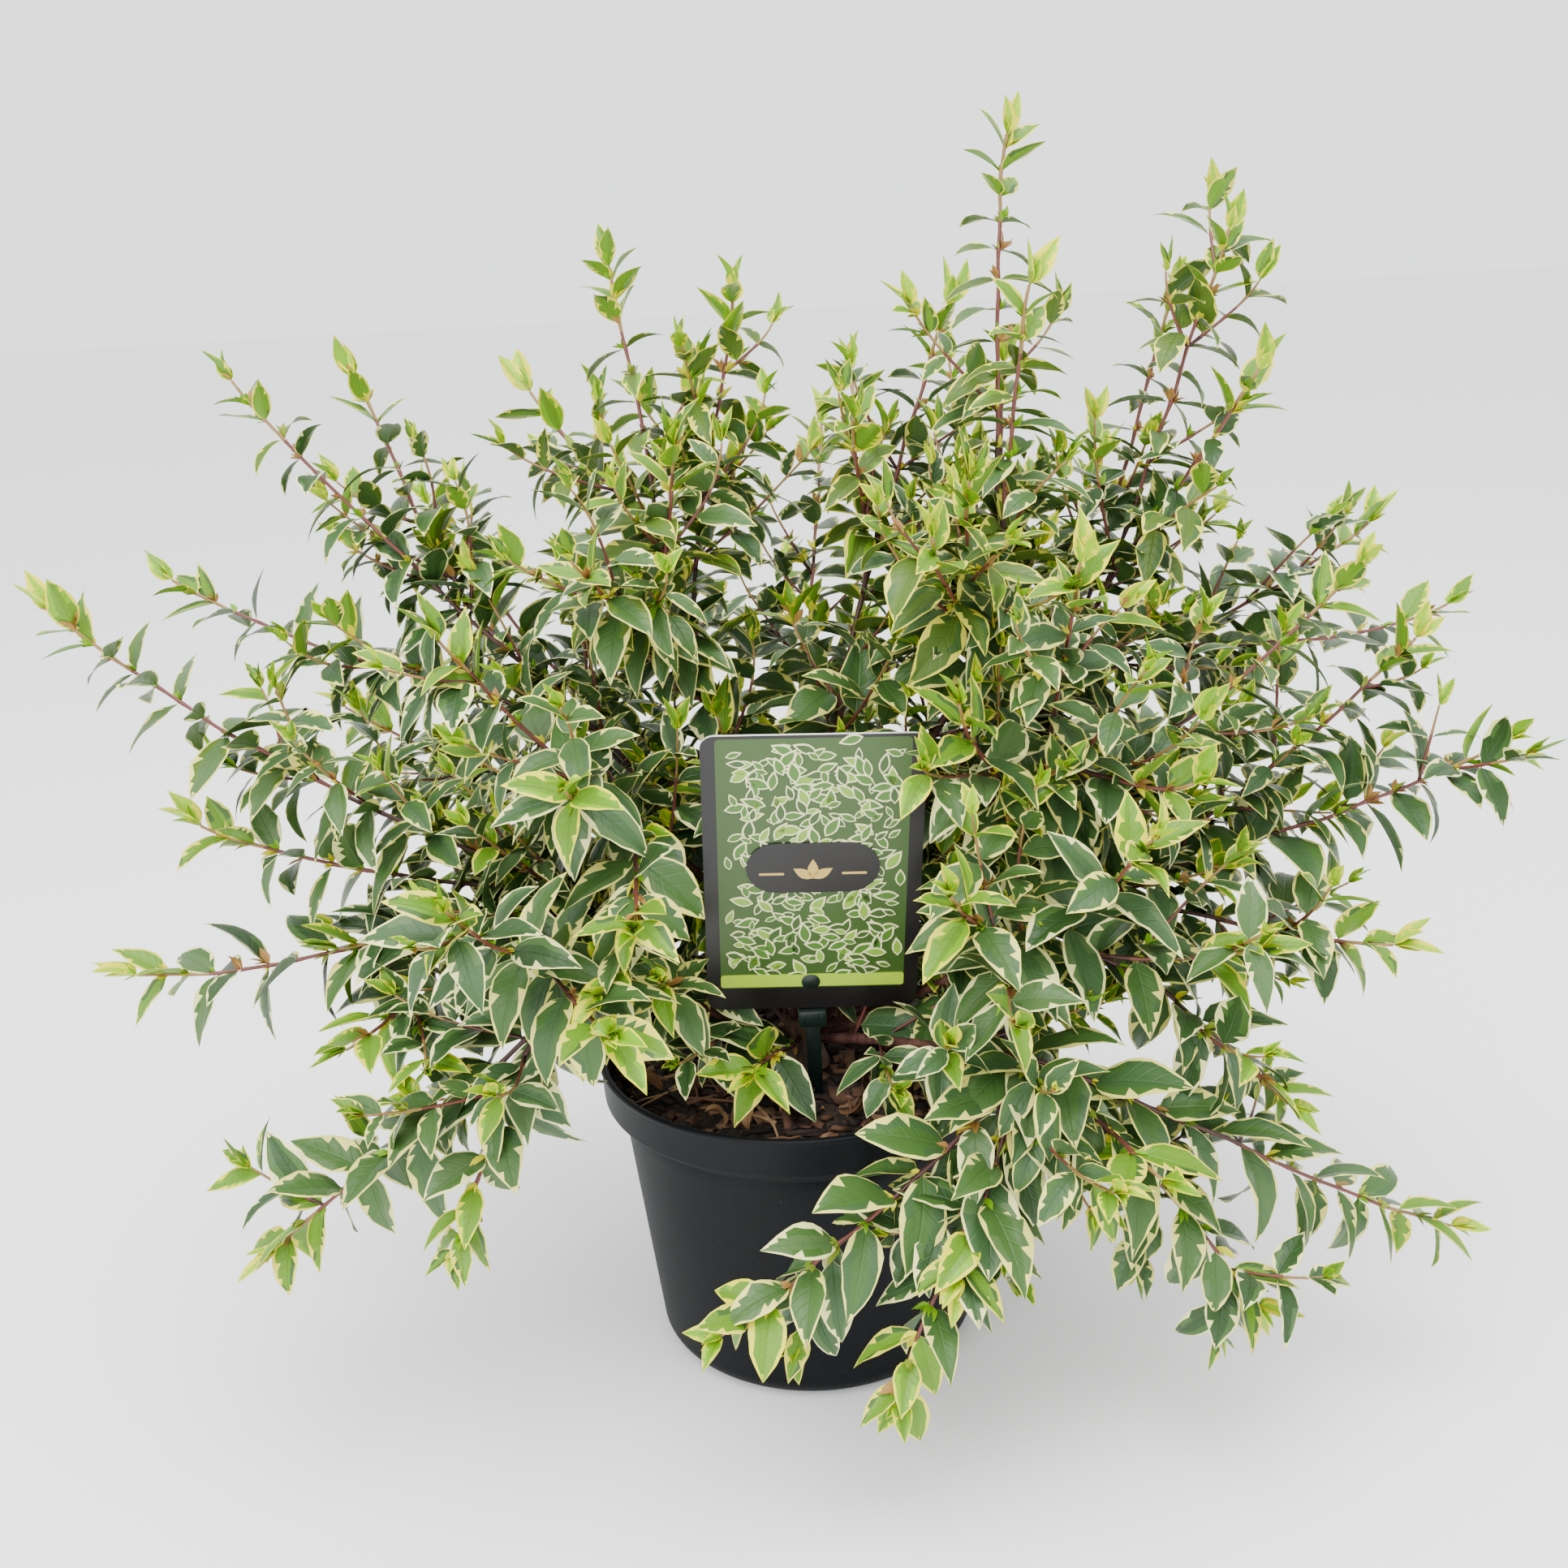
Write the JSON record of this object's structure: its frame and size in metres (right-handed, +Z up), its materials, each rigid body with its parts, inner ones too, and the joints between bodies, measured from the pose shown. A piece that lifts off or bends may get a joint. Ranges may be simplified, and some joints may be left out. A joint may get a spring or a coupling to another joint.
{
  "type": "potted variegated glossy abelia",
  "caption": "Young evergreen shrub with arching red-brown stems and cream-edged green leaves, in a round black nursery pot with a picture card on a pick.",
  "frame": {"origin": "centre of the pot's flat underside", "axes": "+Z up along the pot's axis; the picture card faces -Y; +X to the right of someone who looks along +Y"},
  "size_m": [0.6855, 0.4911, 0.5634],
  "materials": {
    "pot_plastic": "matte black injection-moulded plastic",
    "potting_mix": "moist dark brown bark and peat mix",
    "bark": "smooth red-brown bark",
    "foliage": "satin green leaves with cream edges",
    "card_print": "satin printed plastic card",
    "pick_plastic": "dark green-black plastic"
  },
  "bodies": {
    "root": {"pot": "pot_plastic", "soil": "potting_mix", "woody_base": "bark", "label_card": "card_print", "label_pick": "pick_plastic", "cane_left_low": "bark", "cane_left_high": "bark", "cane_front_left": "bark", "cane_front_left_high": "bark", "cane_top_left": "bark", "cane_top": "bark", "cane_top_right": "bark", "cane_right_high": "bark", "cane_right": "bark", "cane_right_low": "bark", "cane_front_right": "bark", "cane_front_right_low": "bark", "cane_back_left": "bark", "cane_back": "bark", "cane_back_right": "bark", "shoots_left_long": "foliage", "shoots_left_middle": "foliage", "shoots_left_low": "foliage", "shoots_left_high": "foliage", "shoots_left_upper": "foliage", "shoots_front_left": "foliage", "shoots_front_left_hanging": "foliage", "shoots_front_left_high": "foliage", "shoots_beside_card": "foliage", "shoots_top_left": "foliage", "shoots_top_middle": "foliage", "shoots_top_front_left": "foliage", "shoots_top": "foliage", "shoots_tallest": "foliage", "shoots_top_right": "foliage", "shoots_top_front": "foliage", "shoots_right_high": "foliage", "shoots_right_tall": "foliage", "shoots_right_back": "foliage", "shoots_right_long": "foliage", "shoots_right_front": "foliage", "shoots_right_middle": "foliage", "shoots_right_wide": "foliage", "shoots_right_low": "foliage", "shoots_front_right_high": "foliage", "shoots_front_right": "foliage", "shoots_right_of_card": "foliage", "shoots_right_hanging": "foliage", "shoots_front_right_hanging": "foliage", "shoots_across_pot": "foliage", "shoots_front_hanging": "foliage", "shoots_over_rim": "foliage", "shoots_by_card_edge": "foliage", "shoots_back_left_high": "foliage", "shoots_back_left_low": "foliage", "shoots_back_high": "foliage", "shoots_back_low": "foliage", "shoots_back_right_high": "foliage", "shoots_back_right_low": "foliage"}
  },
  "joints": []
}
